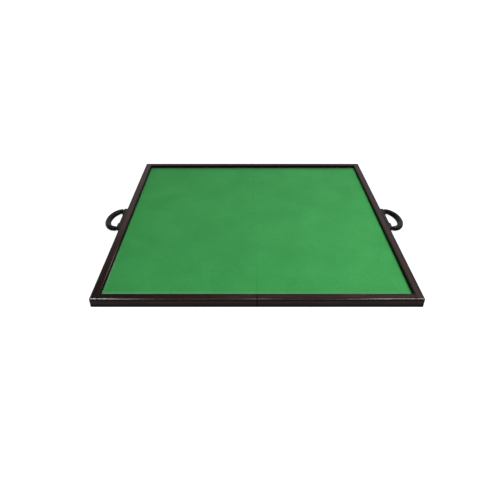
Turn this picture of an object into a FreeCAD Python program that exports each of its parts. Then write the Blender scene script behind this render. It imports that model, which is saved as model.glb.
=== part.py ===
import FreeCAD, Part
import math
import os

# Fold-in-half game table top: two felted trays hinged at a front-to-back seam, with a
# swinging carry handle on each side. Millimetres, +X right, +Y back, +Z up.
# The origin is on the table, under the middle of the seam.

# Board and rails
board_width = 800.0
board_depth = 800.0
rail_width = 21.0
rail_height = 25.0
rim_height = 9.0
outer_round = 4.0
inner_round = 2.0
bottom_round = 1.5
seam_round = 0.6
seam_gap = 0.3

# Panel, felt and seam batten
panel_thickness = 9.0
groove_depth = 8.0
groove_play = 0.1
felt_thickness = 1.2
felt_inset = 0.3
batten_width = 40.0
batten_setback = 1.5
batten_end_play = 0.2

# Corner dowels
dowel_radius = 3.0
dowel_bite_side = 12.0
dowel_bite_end = 20.0
dowel_play = 0.05
dowel_height_shares = (0.28, 0.72)

# Foot pads
pad_radius = 7.0
pad_thickness = 1.0

# Hinges: leaves let into the rail ends, barrel on the seam at the rail tops
hinge_length = 12.0
leaf_drop = 17.0
leaf_thickness = 1.0
leaf_play = 0.1
knuckle_radius = 1.5
knuckle_play = 0.3
knuckle_count = 3
hinge_pin_radius = 0.75
hinge_pin_play = 0.05
hinge_screw_shares = ((-0.25, 0.27), (0.25, 0.27), (-0.25, 0.80))
hinge_screw_length = 10.0
hinge_screw_radius = 1.1
hinge_screw_head = 2.2

# Batten screws, driven from below
batten_screw_count = 4
batten_screw_end = 40.0
batten_screw_length = 12.0
batten_screw_radius = 1.6
batten_screw_head = 3.2

# Handle base: strip with two round-nosed lugs, each slotted for a tongue of the bail
strip_thickness = 9.0
lug_inner = 31.0
lug_reach = 14.8
slot_wall = 2.5
slot_play = 0.4
roof_gap = 0.6
cheek_thickness = 1.8
base_edge_round = 1.2

# Handle screws, through the strip into the side rail
handle_screw_spacing = 44.0
handle_screw_radius = 1.75
handle_screw_head = 3.5
handle_screw_bite_share = 0.85

# Bail: half an ellipse of round section, thicker at the middle, with a tongue at each end
pivot_out = 8.4
pivot_height = 12.0
arm_y = 52.5
loop_reach = 41.0
tongue_radius = 3.0
shoulder_gap = 0.5
shoulder_round = 0.8
grip_end_radius = 7.2
grip_mid_radius = 8.8
grip_section_count = 13
handle_pin_radius = 1.5
handle_pin_play = 0.05
handle_pin_inset = 0.8
handle_pin_bite = 6.0

# Screws
screw_play = 0.05
recess_width_share = 0.22
recess_reach_share = 0.62
recess_depth_share = 0.6
overrun = 2.0
touch = 0.001

# Levels and places that follow from the sizes
half_width = board_width / 2
half_depth = board_depth / 2
seam_face = seam_gap / 2
rail_bottom = pad_thickness
rail_top = rail_bottom + rail_height
rail_middle = rail_bottom + rail_height / 2
rail_inner_x = half_width - rail_width
rail_inner_y = half_depth - rail_width
rail_wall = rail_width - groove_depth
felt_top = rail_top - rim_height
panel_top = felt_top - felt_thickness
panel_bottom = panel_top - panel_thickness
batten_middle_x = seam_face + batten_setback + batten_width / 2
fold_axis_z = rail_top + seam_face
hinge_y = half_depth - rail_width / 2
leaf_top = fold_axis_z - knuckle_radius - knuckle_play
leaf_bottom = fold_axis_z - leaf_drop
pivot_x = half_width + pivot_out
pivot_z = rail_bottom + pivot_height
nose_radius = lug_reach - pivot_out
slot_half = tongue_radius + slot_play
base_half = arm_y + slot_half + cheek_thickness
base_bottom = pivot_z - nose_radius
base_top = pivot_z + nose_radius
roof_bottom = pivot_z + tongue_radius + roof_gap
shoulder_out = nose_radius + shoulder_gap
handle_pin_start = arm_y - slot_half - handle_pin_bite
droop = math.degrees(math.asin((pivot_z - grip_mid_radius) / loop_reach))
handle_screw_length = strip_thickness + rail_wall * handle_screw_bite_share

vector = FreeCAD.Vector
along_x = vector(1, 0, 0)
along_y = vector(0, 1, 0)
along_z = vector(0, 0, 1)
origin = vector(0, 0, 0)


def block(x, y, z):
    return Part.makeBox(x[1] - x[0], y[1] - y[0], z[1] - z[0], vector(x[0], y[0], z[0]))


def rod(radius, start, direction, length):
    return Part.makeCylinder(radius, length, start, direction)


def rounded(shape, radius, places):
    edges = [min(shape.Edges, key=lambda edge: edge.CenterOfMass.distanceToPoint(place)) for place in places]
    return shape.makeFillet(radius, edges)


def to_back(shape):
    return shape.mirror(origin, along_y)


def to_side(shape, side):
    return shape.mirror(origin, along_x) if side == "left" else shape


def aimed(shape, direction, place):
    turned = shape.copy()
    turned.Placement = FreeCAD.Placement(place, FreeCAD.Rotation(along_z, direction))
    return turned


# A countersunk screw points down -Z with its head's face at the origin
def screw(length, radius, head_radius):
    head_depth = head_radius - radius
    head = Part.makeCone(radius, head_radius, head_depth, vector(0, 0, -head_depth))
    body = head.fuse(rod(radius, vector(0, 0, -length), along_z, length - head_depth)).removeSplitter()
    reach = head_radius * recess_reach_share
    width = head_radius * recess_width_share
    floor = -head_depth * recess_depth_share
    for slot in ((reach, width), (width, reach)):
        body = body.cut(block((-slot[0], slot[0]), (-slot[1], slot[1]), (floor, overrun)))
    return body


def screw_hole(length, radius, head_radius):
    head_depth = head_radius - radius
    head = Part.makeCone(radius, head_radius, head_depth, vector(0, 0, -head_depth))
    shank = rod(radius, vector(0, 0, -length), along_z, length)
    return head.fuse([shank, rod(head_radius, origin, along_z, overrun)])


def cut_screws(shape, places, direction, length, radius, head_radius):
    hole = screw_hole(length + screw_play, radius + screw_play, head_radius + screw_play)
    return shape.cut([aimed(hole, direction, place) for place in places])


def screw_group(places, direction, length, radius, head_radius):
    one = screw(length, radius, head_radius)
    return Part.makeCompound([aimed(one, direction, place) for place in places])


# Places of the fasteners on the right half
def hinge_screw_places():
    places = []
    for along, down in hinge_screw_shares:
        place_y = -hinge_y + along * hinge_length
        place_z = leaf_top - down * (leaf_top - leaf_bottom)
        places.append(vector(seam_face, place_y, place_z))
    return places


def batten_screw_places():
    first = -rail_inner_y + batten_screw_end
    step = -2 * first / (batten_screw_count - 1)
    return [vector(batten_middle_x, first + i * step, rail_bottom) for i in range(batten_screw_count)]


def handle_screw_places():
    face = half_width + strip_thickness
    return [vector(face, end * handle_screw_spacing / 2, pivot_z) for end in (-1, 1)]


def dowel_places():
    place_y = -half_depth + rail_wall / 2
    return [vector(rail_inner_x, place_y, rail_bottom + share * rail_height) for share in dowel_height_shares]


def dowel_holes():
    length = dowel_bite_side + dowel_bite_end + 2 * dowel_play
    back_off = vector(-dowel_bite_end - dowel_play, 0, 0)
    return [rod(dowel_radius + dowel_play, place + back_off, along_x, length) for place in dowel_places()]


# Wooden pieces of the right half
def panel_groove():
    x = (seam_face - overrun, half_width - rail_wall + groove_play)
    y = half_depth - rail_wall + groove_play
    return block(x, (-y, y), (panel_bottom - groove_play, panel_top + groove_play))


def hinge_mortise():
    x = (seam_face - overrun, seam_face + leaf_thickness + leaf_play)
    reach = hinge_length / 2 + leaf_play
    leaf_bed = block(x, (-hinge_y - reach, -hinge_y + reach), (leaf_bottom - leaf_play, rail_top + overrun))
    barrel_reach = hinge_length / 2 + knuckle_play
    start = vector(0, -hinge_y - barrel_reach, fold_axis_z)
    return leaf_bed.fuse(rod(knuckle_radius + knuckle_play, start, along_y, 2 * barrel_reach))


def side_rail():
    rail = block((rail_inner_x, half_width), (-half_depth, half_depth), (rail_bottom, rail_top))
    middle_x = half_width - rail_width / 2
    ends = (-half_depth, half_depth)
    outer_edges = [vector(half_width, 0, rail_top)]
    outer_edges += [vector(middle_x, end, rail_top) for end in ends]
    outer_edges += [vector(half_width, end, rail_middle) for end in ends]
    bottom_edges = [vector(half_width, 0, rail_bottom)] + [vector(middle_x, end, rail_bottom) for end in ends]
    rail = rounded(rail, outer_round, outer_edges)
    rail = rounded(rail, inner_round, [vector(rail_inner_x, 0, rail_top)])
    rail = rounded(rail, bottom_round, bottom_edges)
    rail = rail.cut([panel_groove()] + dowel_holes() + [to_back(hole) for hole in dowel_holes()])
    return cut_screws(rail, handle_screw_places(), along_x, handle_screw_length,
                      handle_screw_radius, handle_screw_head)


def front_rail():
    rail = block((seam_face, rail_inner_x), (-half_depth, -rail_inner_y), (rail_bottom, rail_top))
    middle_x = rail_inner_x / 2
    rail = rounded(rail, outer_round, [vector(middle_x, -half_depth, rail_top)])
    rail = rounded(rail, inner_round, [vector(middle_x, -rail_inner_y, rail_top)])
    rail = rounded(rail, bottom_round, [vector(middle_x, -half_depth, rail_bottom)])
    rail = rounded(rail, seam_round, [vector(seam_face, -half_depth, rail_middle)])
    rail = rail.cut([panel_groove(), hinge_mortise()] + dowel_holes())
    return cut_screws(rail, hinge_screw_places(), -along_x, hinge_screw_length,
                      hinge_screw_radius, hinge_screw_head)


def corner_dowels():
    length = dowel_bite_side + dowel_bite_end
    back_off = vector(-dowel_bite_end, 0, 0)
    front = [rod(dowel_radius, place + back_off, along_x, length) for place in dowel_places()]
    return Part.makeCompound(front + [to_back(dowel) for dowel in front])


def panel():
    x = (seam_face, half_width - rail_wall)
    y = half_depth - rail_wall
    board = block(x, (-y, y), (panel_bottom, panel_top))
    board = board.cut([hinge_mortise(), to_back(hinge_mortise())])
    return cut_screws(board, batten_screw_places(), -along_z, batten_screw_length,
                      batten_screw_radius, batten_screw_head)


def felt():
    y = rail_inner_y - felt_inset
    return block((seam_face, rail_inner_x - felt_inset), (-y, y), (panel_top, felt_top))


def seam_batten():
    x = (batten_middle_x - batten_width / 2, batten_middle_x + batten_width / 2)
    y = rail_inner_y - batten_end_play
    batten = block(x, (-y, y), (rail_bottom, panel_bottom))
    return cut_screws(batten, batten_screw_places(), -along_z, batten_screw_length,
                      batten_screw_radius, batten_screw_head)


def batten_screws():
    return screw_group(batten_screw_places(), -along_z, batten_screw_length,
                       batten_screw_radius, batten_screw_head)


def foot_pads():
    corner_y = half_depth - rail_width / 2
    corner_x = half_width - rail_width / 2
    spots = [(x, y) for x in (batten_middle_x, corner_x) for y in (-corner_y, 0, corner_y)]
    return Part.makeCompound([rod(pad_radius, vector(x, y, 0), along_z, pad_thickness) for x, y in spots])


# Front hinge, knuckles counted from the front
def hinge_leaf(knuckles):
    y = (-hinge_y - hinge_length / 2, -hinge_y + hinge_length / 2)
    x = (seam_face, seam_face + leaf_thickness)
    leaf = block(x, y, (leaf_bottom, leaf_top))
    length = (hinge_length - (knuckle_count - 1) * knuckle_play) / knuckle_count
    for knuckle in knuckles:
        start = y[0] + knuckle * (length + knuckle_play)
        tab = block(x, (start, start + length), (leaf_top, fold_axis_z))
        barrel = rod(knuckle_radius, vector(0, start, fold_axis_z), along_y, length)
        leaf = leaf.fuse([tab, barrel])
    bore = rod(hinge_pin_radius + hinge_pin_play, vector(0, y[0] - overrun, fold_axis_z), along_y,
               hinge_length + 2 * overrun)
    leaf = leaf.cut(bore).removeSplitter()
    return cut_screws(leaf, hinge_screw_places(), -along_x, hinge_screw_length,
                      hinge_screw_radius, hinge_screw_head)


def hinge_pin():
    return rod(hinge_pin_radius, vector(0, -hinge_y - hinge_length / 2, fold_axis_z), along_y, hinge_length)


def hinge_screws():
    front = screw_group(hinge_screw_places(), -along_x, hinge_screw_length,
                        hinge_screw_radius, hinge_screw_head)
    return Part.makeCompound(front.Solids + to_back(front).Solids)


# Right handle
def handle_pin_holes():
    radius = handle_pin_radius + handle_pin_play
    length = base_half + overrun - handle_pin_start
    hole = rod(radius, vector(pivot_x, handle_pin_start, pivot_z), along_y, length)
    return [to_back(hole), hole]


def handle_lug():
    y = (lug_inner, base_half)
    nose = rod(nose_radius, vector(pivot_x, lug_inner, pivot_z), along_y, base_half - lug_inner)
    lug = block((half_width, pivot_x), y, (base_bottom, base_top)).fuse(nose).removeSplitter()
    outline = [edge for edge in lug.Edges if edge.CenterOfMass.x > half_width + touch
               and min(abs(edge.CenterOfMass.y - end) for end in y) < touch]
    lug = lug.makeFillet(base_edge_round, outline)
    slot_x = (half_width + slot_wall, half_width + lug_reach + overrun)
    return lug.cut(block(slot_x, (arm_y - slot_half, arm_y + slot_half), (base_bottom - overrun, roof_bottom)))


def handle_base():
    face = half_width + strip_thickness
    reach = lug_inner + 2 * base_edge_round
    strip = block((half_width, face), (-reach, reach), (base_bottom, base_top))
    strip = rounded(strip, base_edge_round, [vector(face, 0, base_bottom), vector(face, 0, base_top)])
    lug = handle_lug()
    base = strip.fuse([lug, to_back(lug)]).removeSplitter()
    base = base.cut(handle_pin_holes())
    return cut_screws(base, handle_screw_places(), along_x, handle_screw_length,
                      handle_screw_radius, handle_screw_head)


def handle_screws():
    return screw_group(handle_screw_places(), along_x, handle_screw_length,
                       handle_screw_radius, handle_screw_head)


def handle_pins():
    length = base_half - handle_pin_inset - handle_pin_start
    pin = rod(handle_pin_radius, vector(pivot_x, handle_pin_start, pivot_z), along_y, length)
    return Part.makeCompound([to_back(pin), pin])


def grip_section(turn):
    radius = grip_end_radius + (grip_mid_radius - grip_end_radius) * math.sin(turn)
    reach = loop_reach - shoulder_out
    heading = math.degrees(math.atan2(-arm_y * math.sin(turn), reach * math.cos(turn)))
    ring = Part.Wire(Part.makeCircle(radius, origin, along_x))
    ring.rotate(origin, along_z, heading)
    place_x = pivot_x + shoulder_out + reach * math.sin(turn)
    ring.translate(vector(place_x, arm_y * math.cos(turn), pivot_z))
    return ring


def handle_grip():
    turns = [math.pi * i / (grip_section_count - 1) for i in range(grip_section_count)]
    grip = Part.makeLoft([grip_section(turn) for turn in turns], True)
    shoulders = [vector(pivot_x + shoulder_out, end * arm_y, pivot_z) for end in (-1, 1)]
    grip = rounded(grip, shoulder_round, shoulders)
    for end in (-1, 1):
        place = vector(pivot_x, end * arm_y, pivot_z)
        tongue = rod(tongue_radius, place, along_x, shoulder_out + overrun)
        grip = grip.fuse([tongue, Part.makeSphere(tongue_radius, place, -along_x, 0, 90, 360)])
    grip = grip.cut(handle_pin_holes())
    grip.rotate(vector(pivot_x, 0, pivot_z), along_y, droop)
    return grip


# Every node, from its right-hand or front shape
def all_nodes():
    nodes = {}
    right_pieces = {
        "panel": panel(), "felt": felt(),
        "side_rail": side_rail(), "front_rail": front_rail(), "back_rail": to_back(front_rail()),
        "corner_dowels": corner_dowels(),
        "seam_batten": seam_batten(), "batten_screws": batten_screws(),
        "foot_pads": foot_pads(), "hinge_screws": hinge_screws(),
        "handle_base": handle_base(), "handle_screws": handle_screws(),
        "handle_pins": handle_pins(), "handle_grip": handle_grip(),
    }
    for side in ("left", "right"):
        for name, shape in right_pieces.items():
            nodes[side + "_" + name] = to_side(shape, side)
    leaves = {"left": to_side(hinge_leaf((0, knuckle_count - 1)), "left"), "right": hinge_leaf((1,))}
    for side, leaf in leaves.items():
        nodes["front_hinge_" + side + "_leaf"] = leaf
        nodes["back_hinge_" + side + "_leaf"] = to_back(leaf)
    nodes["front_hinge_pin"] = hinge_pin()
    nodes["back_hinge_pin"] = to_back(hinge_pin())
    return nodes


os.makedirs("parts", exist_ok=True)
for name, shape in all_nodes().items():
    shape.exportStep("parts/" + name + ".step")
    print(name, len(shape.Solids), "solids", round(shape.Volume), "mm3", "valid", shape.isValid())
print("bail droop at rest", round(droop, 3), "degrees, pivot at", pivot_x, pivot_z)
print("fold axis height", fold_axis_z)
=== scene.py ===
import math

import bmesh
import bpy
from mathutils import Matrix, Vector, noise


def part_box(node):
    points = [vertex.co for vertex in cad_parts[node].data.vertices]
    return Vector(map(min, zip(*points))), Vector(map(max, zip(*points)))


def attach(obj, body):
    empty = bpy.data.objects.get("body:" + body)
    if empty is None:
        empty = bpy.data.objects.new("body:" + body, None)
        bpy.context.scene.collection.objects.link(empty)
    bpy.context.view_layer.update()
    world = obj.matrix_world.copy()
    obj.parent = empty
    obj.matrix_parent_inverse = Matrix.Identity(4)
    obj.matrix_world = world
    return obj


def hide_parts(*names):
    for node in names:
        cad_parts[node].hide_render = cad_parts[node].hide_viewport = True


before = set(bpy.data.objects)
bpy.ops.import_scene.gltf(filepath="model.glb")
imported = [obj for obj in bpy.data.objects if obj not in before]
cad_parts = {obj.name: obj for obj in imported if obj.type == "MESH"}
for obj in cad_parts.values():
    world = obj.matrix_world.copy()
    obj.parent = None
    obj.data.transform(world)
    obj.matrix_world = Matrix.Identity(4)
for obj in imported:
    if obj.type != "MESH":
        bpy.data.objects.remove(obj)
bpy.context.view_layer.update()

print("frame loaded:", len(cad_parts), "nodes")


# Shader sockets as Python values
class Wire:
    def __init__(self, tree, socket):
        self.tree = tree
        self.socket = socket

    def node(self, kind, settings=None, inputs=None, out=0):
        made = self.tree.nodes.new(kind)
        for name, value in (settings or {}).items():
            if name == "stops":
                setStops(made.color_ramp, value)
            else:
                setattr(made, name, value)
        for name, value in (inputs or {}).items():
            plug(self.tree, made.inputs[name], value)
        return Wire(self.tree, made.outputs[out])

    def math(self, operation, first, second=0.0):
        return self.node("ShaderNodeMath", {"operation": operation}, {0: first, 1: second})

    def __add__(self, other):
        return self.math("ADD", self, other)

    def __radd__(self, other):
        return self.math("ADD", other, self)

    def __sub__(self, other):
        return self.math("SUBTRACT", self, other)

    def __rsub__(self, other):
        return self.math("SUBTRACT", other, self)

    def __mul__(self, other):
        return self.math("MULTIPLY", self, other)

    def __rmul__(self, other):
        return self.math("MULTIPLY", other, self)

    def __pow__(self, other):
        return self.math("POWER", self, other)

    def bigger(self, other):
        return self.math("MAXIMUM", self, other)

    def smaller(self, other):
        return self.math("MINIMUM", self, other)

    def size(self):
        return self.math("ABSOLUTE", self)

    def sine(self):
        return self.math("SINE", self)

    def spread(self, base, gain):
        return base + gain * self

    # 0 at the first limit, 1 at the second, which may be the lower one
    def ease(self, low, high):
        limits = {"Value": self, "From Min": low, "From Max": high}
        return self.node("ShaderNodeMapRange", {"interpolation_type": "SMOOTHSTEP"}, limits)

    def axes(self):
        split = self.node("ShaderNodeSeparateXYZ", None, {0: self}).socket.node
        return [Wire(self.tree, output) for output in split.outputs]

    def stretched(self, scale, turn=(0, 0, 0)):
        return self.node("ShaderNodeMapping", None, {"Vector": self, "Scale": scale, "Rotation": turn})

    def cloud(self, scale, detail=3.0, rough=0.5, twist=0.0):
        amounts = {"Vector": self, "Scale": scale, "Detail": detail, "Roughness": rough, "Distortion": twist}
        return self.node("ShaderNodeTexNoise", None, amounts)

    def ramp(self, places, colours):
        stops = list(zip(places, colours))
        return self.node("ShaderNodeValToRGB", {"stops": stops}, {"Fac": self})

    # Sockets 6 and 7 are the Mix node's colours, output 2 its colour result
    def blend(self, low, high):
        return self.node("ShaderNodeMix", {"data_type": "RGBA"}, {0: self, 6: low, 7: high}, 2)

    def bump(self, strength, distance):
        heights = {"Height": self, "Strength": strength, "Distance": distance}
        return self.node("ShaderNodeBump", None, heights)


def plug(tree, socket, value):
    if isinstance(value, Wire):
        tree.links.new(value.socket, socket)
    else:
        socket.default_value = value


def setStops(ramp, stops):
    while len(ramp.elements) < len(stops):
        ramp.elements.new(0.5)
    for element, (place, colour) in zip(ramp.elements, stops):
        element.position = place
        element.color = colour


def srgb(red, green, blue):
    parts = []
    for value in (red, green, blue):
        share = value / 255
        parts.append(share / 12.92 if share <= 0.04045 else ((share + 0.055) / 1.055) ** 2.4)
    return (*parts, 1.0)


def startMaterial(name):
    made = bpy.data.materials.new(name)
    made.use_nodes = True
    tree = made.node_tree
    shader = tree.nodes["Principled BSDF"]
    place = Wire(tree, tree.nodes.new("ShaderNodeTexCoord").outputs["Object"])
    return made, shader, place


def dress(shader, **values):
    names = {"colour": "Base Color", "rough": "Roughness", "metal": "Metallic", "normal": "Normal",
             "specular": "Specular IOR Level", "coat": "Coat Weight", "coatRough": "Coat Roughness",
             "sheen": "Sheen Weight", "sheenRough": "Sheen Roughness", "sheenTint": "Sheen Tint",
             "glow": "Emission Color", "glowStrength": "Emission Strength"}
    for name, value in values.items():
        plug(shader.id_data, shader.inputs[names[name]], value)


# Dark lacquered rails with the grain along one axis; a cloud is scale, detail, roughness, twist
railLook = {
    "dark": srgb(20, 10, 10), "mid": srgb(32, 17, 16), "light": srgb(46, 27, 25),
    # rub is the paler tone of worn edges and of the painted light on the tops, inner the tone of painted
    # shade, gleam a painted highlight
    "rub": srgb(66, 53, 48), "inner": srgb(7, 6, 5), "gleam": srgb(150, 136, 122),
    "grain": 34.0, "grainAlong": 3.2, "grainCloud": (1.0, 6.0, 0.62, 0.6),
    "pores": 260.0, "poresAlong": 16.0, "poreCloud": (1.0, 3.0, 0.6), "poreTones": (0.35, 0.62),
    "driftCloud": (7.0, 2.0), "grainShare": 0.7, "driftShare": 0.3, "tones": (0.34, 0.52, 0.70),
    "rough": 0.2, "roughGain": 0.06, "specular": 0.02,
    "lacquer": 0.15, "polish": 0.7, "polishRough": 0.18,
    "bumpGrain": 0.5, "bumpPores": 0.5, "bump": 0.2, "bumpDepth": 0.00005,
}

# Where the rails are worn and where shade and light are painted on them: metres from the table's middle and
# above its feet, a pair for each soft edge
railWear = {
    "edgeSum": 0.422, "cornerSum": 0.796, "rubEdge": (0.0006, 0.0016), "rubShare": 0.25,
    "rubCloud": (45.0, 5.0, 0.65), "rubTones": (0.36, 0.66),
    "seam": (0.0019, 0.0009),
    "polishEdge": (0.0002, 0.0008), "polishHigh": (0.0238, 0.0246),
    "polishNearSeam": (0.04, 0.004), "polishGain": (1.0, 0.7),
    "innerFace": (0.3808, 0.3798), "innerHigh": (0.0260, 0.0250), "innerShare": 0.85,
    "top": (0.0245, 0.0255), "topMiddle": 0.3885, "topBand": (0.0085, 0.002), "frontShare": 0.45,
    "handCorner": (-0.62, -0.38), "handShare": 0.3, "handGrain": (0.4, 1.2),
    "gleamLine": 0.3797, "gleamBand": (0.0016, 0.0005),
    "gleamStart": (0.14, 0.24), "gleamEnd": (0.42, 0.24), "gleamGrain": (0.1, 0.4),
    "foot": (0.019, 0.009), "footShare": 0.75,
    "shadeFace": (0.3965, 0.3985), "shadeTop": (0.0246, 0.0232), "shadeFoot": (0.0180, 0.0205),
    "shadeShare": 0.7,
    "sideShadeFace": (0.3948, 0.3974), "sideShadeHigh": (0.019, 0.022), "sideShadeShare": 0.92,
    "cornerShadeReach": (-0.62, -0.77), "cornerShadeTop": (0.0235, 0.0250), "cornerShadeShare": 0.7,
    "dullFace": (0.3955, 0.3985), "dullHigh": (0.016, 0.021),
    "dullBack": (0.375, 0.38), "dullMiddle": (0.38, 0.12), "dullShare": 0.6,
    "lacquerFoot": (0.002, 0.014),
}


# The front and back edges and the corners are rubbed paler in patches
def edgeRub(place):
    across, deep, high = place.axes()
    across, deep = across.size(), deep.size()
    sharp = (deep + high - railWear["edgeSum"]).bigger(across + deep - railWear["cornerSum"])
    patches = place.cloud(*railWear["rubCloud"]).ease(*railWear["rubTones"])
    return sharp.ease(*railWear["rubEdge"]) * patches


# Painted shade darkens the rail ends where the halves meet
def seamShade(place):
    return place.axes()[0].size().ease(*railWear["seam"])


# Sleeves polish the upper half of the rounded front and back edges, most of all beside the seam
def edgePolish(place, seam):
    across, deep, high = place.axes()
    sharp = deep.size() + high - railWear["edgeSum"]
    beside = across.size().ease(*railWear["polishNearSeam"]).spread(*railWear["polishGain"])
    return sharp.ease(*railWear["polishEdge"]) * high.ease(*railWear["polishHigh"]) * beside * (1.0 - seam)


# The inner faces above the felt are painted nearly black with shade
def innerShade(place):
    across, deep, high = place.axes()
    inward = across.size().bigger(deep.size()).ease(*railWear["innerFace"])
    return inward * high.ease(*railWear["innerHigh"])


# The side and front rails are paler along the middle of their tops, away from the front left corner: partly
# hand wear, partly painted light on the flat tops
def rubbedAndLitTops(place):
    across, deep, high = place.axes()
    side = (across.size() - railWear["topMiddle"]).size().ease(*railWear["topBand"])
    front = (deep + railWear["topMiddle"]).size().ease(*railWear["topBand"])
    rubbed = side.bigger(front * railWear["frontShare"]) * high.ease(*railWear["top"])
    return rubbed * (across + deep).ease(*railWear["handCorner"])


# A highlight is painted on the left inner edge towards the front
def innerGleam(place):
    across, deep, high = place.axes()
    edge = (across + railWear["gleamLine"]).size().ease(*railWear["gleamBand"])
    ahead = 0.0 - deep
    stretch = ahead.ease(*railWear["gleamStart"]) * ahead.ease(*railWear["gleamEnd"])
    return edge * stretch * high.ease(*railWear["top"])


# Painted shade darkens the foot of the outer faces
def footShade(place):
    return place.axes()[2].ease(*railWear["foot"]) * railWear["footShare"]


# A painted shade line under the rounded outer edges
def edgeShade(place):
    across, deep, high = place.axes()
    outward = across.size().bigger(deep.size()).ease(*railWear["shadeFace"])
    line = high.ease(*railWear["shadeTop"]) * high.ease(*railWear["shadeFoot"])
    return outward * line * railWear["shadeShare"]


# Painted shade on the side rails' rounded outer edges and on the top of the front left corner
def sideEdgeShade(place):
    across, deep, high = place.axes()
    edge = across.size().ease(*railWear["sideShadeFace"]) * high.ease(*railWear["sideShadeHigh"])
    corner = (across + deep).ease(*railWear["cornerShadeReach"]) * high.ease(*railWear["cornerShadeTop"])
    return (edge * railWear["sideShadeShare"]).bigger(corner * railWear["cornerShadeShare"])


# Lacquer is worn off at the foot of the outer faces, along the side rails' outer edges,
# on the middle of the back rail and wherever shade is painted
def lacquerLeft(place, seam, shaded):
    across, deep, high = place.axes()
    dull = across.size().ease(*railWear["dullFace"]) * high.ease(*railWear["dullHigh"])
    middle = across.size().ease(*railWear["dullMiddle"])
    back = deep.ease(*railWear["dullBack"]) * middle * railWear["dullShare"]
    left = high.ease(*railWear["lacquerFoot"]) * (1.0 - seam)
    return left * (1.0 - dull.bigger(back).bigger(shaded))


def scaleAlong(axis, around, along):
    scale = [around] * 3
    scale[axis] = along
    return scale


def railWood(name, axis):
    look, wear = railLook, railWear
    made, shader, place = startMaterial(name)
    grain = place.stretched(scaleAlong(axis, look["grain"], look["grainAlong"])).cloud(*look["grainCloud"])
    pores = place.stretched(scaleAlong(axis, look["pores"], look["poresAlong"])).cloud(*look["poreCloud"])
    drift = place.cloud(*look["driftCloud"])
    seam, inner, shade = seamShade(place), innerShade(place), edgeShade(place)
    tone = grain * look["grainShare"] + drift * look["driftShare"]
    colour = tone.ramp(look["tones"], (look["dark"], look["mid"], look["light"]))
    colour = pores.ease(*look["poreTones"]).blend(look["dark"], colour)
    # Paler tops: partly hand wear, partly painted light
    rubbedAndLit = rubbedAndLitTops(place) * wear["handShare"] * grain.spread(*wear["handGrain"])
    colour = (edgeRub(place) * wear["rubShare"]).bigger(rubbedAndLit).blend(colour, look["rub"])
    # Painted highlight on the left inner edge
    colour = (innerGleam(place) * grain.spread(*wear["gleamGrain"])).blend(colour, look["gleam"])
    # Painted shade at the feet, under the outer edges, on the side edges, on the inner faces and at the seam
    paintedShades = footShade(place).bigger(shade).bigger(sideEdgeShade(place))
    colour = (inner * wear["innerShare"]).bigger(seam).bigger(paintedShades).blend(colour, look["inner"])
    polish = edgePolish(place, seam) * look["polish"]
    lacquer = lacquerLeft(place, seam, inner.bigger(shade)) * look["lacquer"]
    rough = look["rough"] + look["roughGain"] * drift + look["roughGain"] * pores
    height = grain * look["bumpGrain"] + pores * look["bumpPores"]
    dress(shader, colour=colour, rough=rough, specular=look["specular"],
          coat=polish.bigger(lacquer).smaller(1.0), coatRough=look["polishRough"],
          normal=height.bump(look["bump"], look["bumpDepth"]))
    return made


# Short-napped green felt, with painted light along the front and left rails, a painted shadow along the back
# rail and painted light growing towards the right
feltLook = {
    "deep": srgb(30, 99, 45), "mid": srgb(38, 110, 53), "pale": srgb(48, 124, 63),
    "paintedLitGreen": srgb(68, 108, 74), "shadowAndCutGreen": srgb(20, 62, 28),
    "patchCloud": (9.0, 4.0, 0.55, 0.3), "tuftCloud": (108.0, 4.0, 0.6),
    "strandScale": (1.0, 0.45, 1.0), "strandTurn": (0, 0, 0.5), "strandCloud": (900.0, 3.0, 0.7, 1.2),
    "patchShare": 0.33, "tuftShare": 0.18, "strandShare": 0.49, "paintedRightLight": 0.32, "tones": (0.30, 0.50, 0.72),
    "frontStart": (0.3565, 0.3665), "frontEnd": (0.381, 0.3685), "frontTuft": (0.3, 0.6),
    "leftEdge": (0.3715, 0.3765), "leftStart": (0.14, 0.24), "leftTuft": (0.5, 0.7),
    "backEdge": (0.350, 0.384), "backTuft": (0.6, 0.4),
    "cut": (0.0011, 0.0002), "cutAhead": (0.29, 0.37), "cutShares": (0.05, 0.33),
    "rough": 0.95, "specular": 0.1, "sheen": 0.08, "sheenRough": 0.6, "sheenTint": srgb(150, 215, 160),
    "bumpStrand": 0.85, "bumpTuft": 0.15, "bump": 0.5, "bumpDepth": 0.0004,
}


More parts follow.
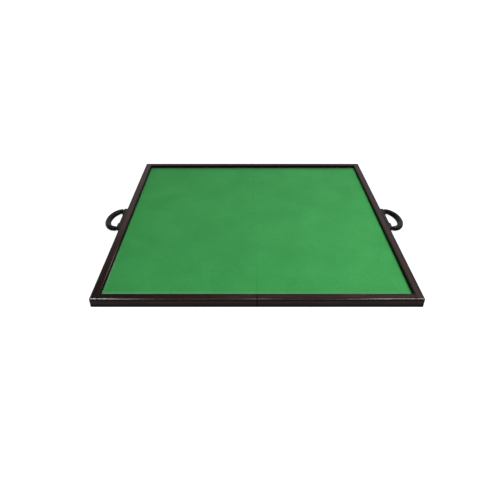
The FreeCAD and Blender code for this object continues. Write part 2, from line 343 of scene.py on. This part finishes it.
def feltCloth():
    look = feltLook
    made, shader, place = startMaterial("feltCloth")
    patch = place.cloud(*look["patchCloud"])
    tuft = place.cloud(*look["tuftCloud"])
    strand = place.stretched(look["strandScale"], look["strandTurn"]).cloud(*look["strandCloud"])
    across, deep, _ = place.axes()
    ahead = 0.0 - deep
    tone = patch * look["patchShare"] + tuft * look["tuftShare"] + strand * look["strandShare"]
    # Painted light: the felt grows paler towards the right
    tone = tone + across * look["paintedRightLight"]
    colour = tone.ramp(look["tones"], (look["deep"], look["mid"], look["pale"]))
    # Painted light along the front and left edges of the felt
    frontPaintedLight = ahead.ease(*look["frontStart"]) * ahead.ease(*look["frontEnd"])
    frontPaintedLight = frontPaintedLight * tuft.spread(*look["frontTuft"])
    leftPaintedLight = (0.0 - across).ease(*look["leftEdge"]) * ahead.ease(*look["leftStart"])
    leftPaintedLight = leftPaintedLight * tuft.spread(*look["leftTuft"])
    colour = frontPaintedLight.bigger(leftPaintedLight).blend(colour, look["paintedLitGreen"])
    # Painted shadow of the back rail on the felt; the same dark green marks the cut line at the seam
    shadowAndCutGreen = deep.ease(*look["backEdge"]) * tuft.spread(*look["backTuft"])
    cutLine = across.size().ease(*look["cut"]) * ahead.ease(*look["cutAhead"]).spread(*look["cutShares"])
    colour = shadowAndCutGreen.bigger(cutLine).blend(colour, look["shadowAndCutGreen"])
    height = strand * look["bumpStrand"] + tuft * look["bumpTuft"]
    dress(shader, colour=colour, rough=look["rough"], specular=look["specular"], sheen=look["sheen"],
          sheenRough=look["sheenRough"], sheenTint=look["sheenTint"],
          normal=height.bump(look["bump"], look["bumpDepth"]))
    return made


# Moulded handle pieces: black bails shined by palms, brown bases with painted shade on their noses
mouldLook = {"driftCloud": (60.0, 3.0), "driftTones": (0.3, 0.7), "grainCloud": (1400.0, 2.0, 0.6),
             "driftRough": 0.12, "grainRough": 0.08, "shineDrift": (0.7, 0.6),
             "bump": 0.25, "bumpDepth": 0.0001}
gripLook = {"dark": srgb(2, 2, 3), "pale": srgb(6, 6, 7), "rough": 0.42, "specular": 0.03,
            "shine": 0.3, "shineRough": 0.36, "shineHigh": (0.002, 0.008),
            "pivotOut": 0.4084, "pivotHigh": 0.013, "slope": 0.103}
baseLook = {"dark": srgb(22, 14, 14), "pale": srgb(36, 24, 24), "rough": 0.36, "specular": 0.1,
            "nose": srgb(5, 4, 4), "noseOut": (0.404, 0.408)}


# Palms shine the upper half of the bail
def palmShine(place):
    across, _, high = place.axes()
    middle = gripLook["pivotHigh"] - (across.size() - gripLook["pivotOut"]) * gripLook["slope"]
    return (high - middle).ease(*gripLook["shineHigh"])


def moulded(name, look):
    mould = mouldLook
    made, shader, place = startMaterial(name)
    drift = place.cloud(*mould["driftCloud"])
    grain = place.cloud(*mould["grainCloud"])
    colour = drift.ease(*mould["driftTones"]).blend(look["dark"], look["pale"])
    if "nose" in look:
        # Painted shade on the base's outer nose
        colour = place.axes()[0].size().ease(*look["noseOut"]).blend(colour, look["nose"])
    rough = look["rough"] + mould["driftRough"] * drift + mould["grainRough"] * grain
    dress(shader, colour=colour, rough=rough, specular=look["specular"],
          normal=grain.bump(mould["bump"], mould["bumpDepth"]))
    if "shine" in look:
        shine = palmShine(place) * look["shine"] * drift.spread(*mould["shineDrift"])
        dress(shader, coat=shine, coatRough=look["shineRough"])
    return made


# Thin veneer on the panels' faces, layers showing on the cut edge at the seam
plyLook = {
    "dark": srgb(156, 121, 84), "pale": srgb(184, 150, 109), "ring": srgb(132, 96, 62),
    "pore": srgb(98, 70, 46), "core": srgb(104, 72, 44),
    "grainScale": (60.0, 3.0, 60.0), "grainCloud": (1.0, 6.0, 0.6, 0.8),
    "swayScale": (5.0, 0.8, 5.0), "swayCloud": (1.0, 3.0, 0.5),
    "poreScale": (520.0, 14.0, 520.0), "poreCloud": (1.0, 3.0, 0.6),
    "poreTones": (0.56, 0.70), "poreShare": 0.55,
    "rings": 240.0, "ringLean": 5.0, "sway": 34.0, "ringTones": (-0.4, 1.0), "ringShare": 0.55,
    "grainShare": 0.6, "swayShare": 0.4, "tones": (0.3, 0.7),
    "layers": 4190.0, "layerTones": (-0.4, 0.4), "layerShare": 0.7, "cutEdge": (0.0007, 0.0004),
    "rough": (0.55, 0.2), "specular": 0.2,
    "bumpGrain": 0.6, "bumpPores": -0.4, "bump": 0.3, "bumpDepth": 0.0002,
}


def plywood():
    look = plyLook
    made, shader, place = startMaterial("plywood")
    across, deep, high = place.axes()
    grain = place.stretched(look["grainScale"]).cloud(*look["grainCloud"])
    sway = place.stretched(look["swayScale"]).cloud(*look["swayCloud"])
    rings = across * look["rings"] + deep * look["ringLean"] + sway * look["sway"]
    rings = rings.sine().ease(*look["ringTones"])
    pores = place.stretched(look["poreScale"]).cloud(*look["poreCloud"]).ease(*look["poreTones"])
    tone = (grain * look["grainShare"] + sway * look["swayShare"]).ease(*look["tones"])
    face = tone.blend(look["dark"], look["pale"])
    face = (rings * grain * look["ringShare"]).blend(face, look["ring"])
    face = (pores * look["poreShare"]).blend(face, look["pore"])
    layer = (high * look["layers"]).sine().ease(*look["layerTones"])
    onEdge = across.size().ease(*look["cutEdge"])
    colour = (onEdge * layer * look["layerShare"]).blend(face, look["core"])
    height = grain * look["bumpGrain"] + pores * look["bumpPores"]
    dress(shader, colour=colour, rough=grain.spread(*look["rough"]), specular=look["specular"],
          normal=height.bump(look["bump"], look["bumpDepth"]))
    return made


dowelLook = {"dark": srgb(170, 132, 88), "pale": srgb(212, 178, 132), "rough": 0.7,
             "grainScale": (4.0, 160.0, 160.0), "grainCloud": (1.0, 4.0)}


def bareDowel():
    look = dowelLook
    made, shader, place = startMaterial("bareDowel")
    grain = place.stretched(look["grainScale"]).cloud(*look["grainCloud"])
    dress(shader, colour=grain.blend(look["dark"], look["pale"]), rough=look["rough"])
    return made


hingeLook = {"dark": srgb(9, 7, 7), "pale": srgb(27, 22, 20),
             "rubCloud": (420.0, 4.0, 0.6), "rubTones": (0.35, 0.75),
             "metal": 0.6, "rough": (0.42, 0.2), "specular": 0.1}


def hingeMetal():
    look = hingeLook
    made, shader, place = startMaterial("hingeMetal")
    rub = place.cloud(*look["rubCloud"])
    colour = rub.ease(*look["rubTones"]).blend(look["dark"], look["pale"])
    dress(shader, colour=colour, metal=look["metal"], rough=rub.spread(*look["rough"]),
          specular=look["specular"])
    return made


platedLook = {"dark": srgb(150, 150, 152), "pale": srgb(200, 200, 200), "rubCloud": (700.0, 4.0, 0.6),
              "metal": 1.0, "rough": (0.25, 0.25)}


def plated():
    look = platedLook
    made, shader, place = startMaterial("platedSteel")
    rub = place.cloud(*look["rubCloud"])
    colour = rub.blend(look["dark"], look["pale"])
    dress(shader, colour=colour, metal=look["metal"], rough=rub.spread(*look["rough"]))
    return made


padLook = {"dark": srgb(20, 20, 20), "pale": srgb(46, 46, 45),
           "cellCloud": (2200.0, 2.0, 0.7), "tones": (0.3, 0.7),
           "rough": 0.9, "specular": 0.2, "bump": 0.5, "bumpDepth": 0.0002}


def padRubber():
    look = padLook
    made, shader, place = startMaterial("padRubber")
    cells = place.cloud(*look["cellCloud"])
    colour = cells.ease(*look["tones"]).blend(look["dark"], look["pale"])
    dress(shader, colour=colour, rough=look["rough"], specular=look["specular"],
          normal=cells.bump(look["bump"], look["bumpDepth"]))
    return made


woodX = railWood("railWoodAcross", 0)
woodY = railWood("railWoodDeep", 1)
feltGreen = feltCloth()
blackSteel = hingeMetal()
brightSteel = plated()
finishes = {
    "side_rail": woodY, "seam_batten": woodY, "front_rail": woodX, "back_rail": woodX,
    "panel": plywood(), "corner_dowels": bareDowel(), "foot_pads": padRubber(),
    "handle_base": moulded("baseBrown", baseLook), "handle_grip": moulded("gripBlack", gripLook),
    "leaf": blackSteel, "hinge_pin": blackSteel, "hinge_screws": blackSteel, "handle_pins": blackSteel,
    "batten_screws": brightSteel, "handle_screws": brightSteel,
    "felt": feltGreen,
}
for nodeName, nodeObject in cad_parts.items():
    ending = next(key for key in finishes if nodeName.endswith(key))
    for materialSlot in nodeObject.material_slots:
        materialSlot.material = finishes[ending]
print("finishes set on", len(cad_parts), "nodes")


# Felt sheets glued on the panels, cut close at the seam
feltSheet = {"cells": (48, 96), "edge": 0.0005, "seamEdge": 0.00008, "seamBand": 0.001, "sharpAngle": 1.0,
             "ripple": 0.00006, "wave": 22.0}


def rimEdges(bm, level, seamSide):
    chosen = []
    for edge in bm.edges:
        atSeam = max(abs(vert.co.x) for vert in edge.verts) < feltSheet["seamBand"]
        raised = min(vert.co.z for vert in edge.verts) > level
        if raised and atSeam == seamSide and edge.calc_face_angle(0) > feltSheet["sharpAngle"]:
            chosen.append(edge)
    return chosen


def layFelt(side):
    low, high = (Vector(corner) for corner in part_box(side + "_felt"))
    seamward = min(abs(low.x), abs(high.x))  # the sheets meet at the seam
    if side == "left":
        high.x += seamward
    else:
        low.x -= seamward
    span = high - low
    bm = bmesh.new()
    columns, rows = feltSheet["cells"]
    bmesh.ops.create_grid(bm, x_segments=columns, y_segments=rows, size=0.5)
    bmesh.ops.scale(bm, vec=(span.x, span.y, 1.0), verts=bm.verts)
    bmesh.ops.translate(bm, vec=(low + high) / 2 - Vector((0, 0, span.z / 2)), verts=bm.verts)
    raised = bmesh.ops.extrude_face_region(bm, geom=bm.faces[:])["geom"]
    top = [item for item in raised if isinstance(item, bmesh.types.BMVert)]
    bmesh.ops.translate(bm, vec=(0, 0, span.z), verts=top)
    bmesh.ops.recalc_face_normals(bm, faces=bm.faces)
    for seamSide, offset in ((True, feltSheet["seamEdge"]), (False, feltSheet["edge"])):
        bmesh.ops.bevel(bm, geom=rimEdges(bm, low.z + span.z / 2, seamSide), offset=offset,
                        offset_type="OFFSET", affect="EDGES", segments=3, profile=0.5, material=-1)
    for vert in bm.verts:
        if vert.co.z > high.z - feltSheet["edge"] / 2:
            vert.co.z += feltSheet["ripple"] * noise.noise(vert.co * feltSheet["wave"])
    mesh = bpy.data.meshes.new(side + "FeltSheet")
    bm.to_mesh(mesh)
    bm.free()
    mesh.materials.append(feltGreen)
    mesh.shade_smooth()
    piece = bpy.data.objects.new(side + "FeltSheet", mesh)
    bpy.context.scene.collection.objects.link(piece)
    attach(piece, side + "_half")
    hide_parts(side + "_felt")


for side in ("left", "right"):
    layFelt(side)
print("felt laid")


# Floor, sky, lights and camera; the camera's focal length and middle are in pixels of the frame
studio = {
    "floor": 40.0, "floorTone": 0.25, "floorRough": 0.95,
    "glowNear": 0.85, "glowFar": 1.0, "glowReach": (0.5, 2.2),
    "seamWide": (0.004, 0.0015), "seamLong": (0.399, 0.397),
    "skyLow": 1.0, "skyHigh": 0.12, "skyBand": (0.45, 0.71), "skyTilt": 0.25, "tiltBand": (0.30, 0.45),
    "cameraPlace": (-0.0301, -1.2630, 0.7420), "pitch": 33.72, "focal": 470.8, "middle": 244.39,
    "frameSize": 500, "sensor": 36.0,
}
strip = (3.2, 0.11)
softBoxes = {
    "rightStripBox": {"place": (0.86, -1.0, 1.8), "target": (0.3, -1.0, 0), "size": strip, "power": 18.0},
    "leftStripBox": {"place": (-0.98, -1.0, 1.8), "target": (-0.3, -1.0, 0), "size": strip, "power": 35.0},
    "middleStripBox": {"place": (0.06, -1.0, 1.8), "target": (0.0, -1.0, 0), "size": strip, "power": 3.5},
    "keyBox": {"place": (1.6, -0.5, 2.4), "target": (0, 0, 0), "size": (0.7, 0.7), "power": 62.0},
}


def grey(tone):
    return (tone, tone, tone, 1.0)


def softLight(name, place, target, size, power):
    data = bpy.data.lights.new(name, "AREA")
    data.shape = "RECTANGLE"
    data.size, data.size_y = size
    data.energy = power
    lamp = bpy.data.objects.new(name, data)
    lamp.location = place
    lamp.rotation_euler = (Vector(target) - Vector(place)).to_track_quat("-Z", "Y").to_euler()
    bpy.context.scene.collection.objects.link(lamp)


# White paper that glows except under the seam, where a painted shadow is left, and is clear from below
def layFloor():
    mesh = bpy.data.meshes.new("floor")
    bm = bmesh.new()
    bmesh.ops.create_grid(bm, x_segments=1, y_segments=1, size=studio["floor"] / 2)
    bm.to_mesh(mesh)
    bm.free()
    made, shader, place = startMaterial("floorPaper")
    across, deep, _ = place.axes()
    away = (across * across + deep * deep) ** 0.5
    # Painted shadow: no glow under the seam
    seamShadowOnFloor = across.size().ease(*studio["seamWide"]) * deep.size().ease(*studio["seamLong"])
    glow = away.ease(*studio["glowReach"]).blend(grey(studio["glowNear"]), grey(studio["glowFar"]))
    glow = seamShadowOnFloor.blend(glow, grey(0.0))
    dress(shader, colour=grey(studio["floorTone"]), rough=studio["floorRough"], specular=0.0,
          glow=glow, glowStrength=1.0)
    paper = Wire(made.node_tree, shader.outputs["BSDF"])
    clear = paper.node("ShaderNodeBsdfTransparent")
    fromBelow = paper.node("ShaderNodeNewGeometry", None, None, "Backfacing")
    surface = paper.node("ShaderNodeMixShader", None, {0: fromBelow, 1: paper, 2: clear})
    plug(made.node_tree, made.node_tree.nodes["Material Output"].inputs["Surface"], surface)
    mesh.materials.append(made)
    floor = bpy.data.objects.new("floor", mesh)
    bpy.context.scene.collection.objects.link(floor)


# Pale near the horizon, dim overhead, a little brighter on the right
def setSky():
    world = bpy.data.worlds.new("studioWorld")
    world.use_nodes = True
    tree = world.node_tree
    towards = Wire(tree, tree.nodes.new("ShaderNodeTexCoord").outputs["Generated"])
    across, _, high = towards.axes()
    lean = across * high.ease(*studio["tiltBand"]) * studio["skyTilt"]
    shade = (high - lean).ease(*studio["skyBand"]).blend(grey(studio["skyLow"]), grey(studio["skyHigh"]))
    plug(tree, tree.nodes["Background"].inputs["Color"], shade)
    bpy.context.scene.world = world


def setCamera():
    data = bpy.data.cameras.new("camera")
    data.sensor_width = studio["sensor"]
    data.lens = studio["focal"] * studio["sensor"] / studio["frameSize"]
    data.shift_x = 0.5 - studio["middle"] / studio["frameSize"]
    camera = bpy.data.objects.new("camera", data)
    camera.location = studio["cameraPlace"]
    camera.rotation_euler = (math.radians(90 - studio["pitch"]), 0, 0)
    bpy.context.scene.collection.objects.link(camera)
    bpy.context.scene.camera = camera


layFloor()
setCamera()
for boxName, boxSettings in softBoxes.items():
    softLight(boxName, **boxSettings)
setSky()
bpy.context.scene.view_settings.view_transform = "Standard"
print("studio set")
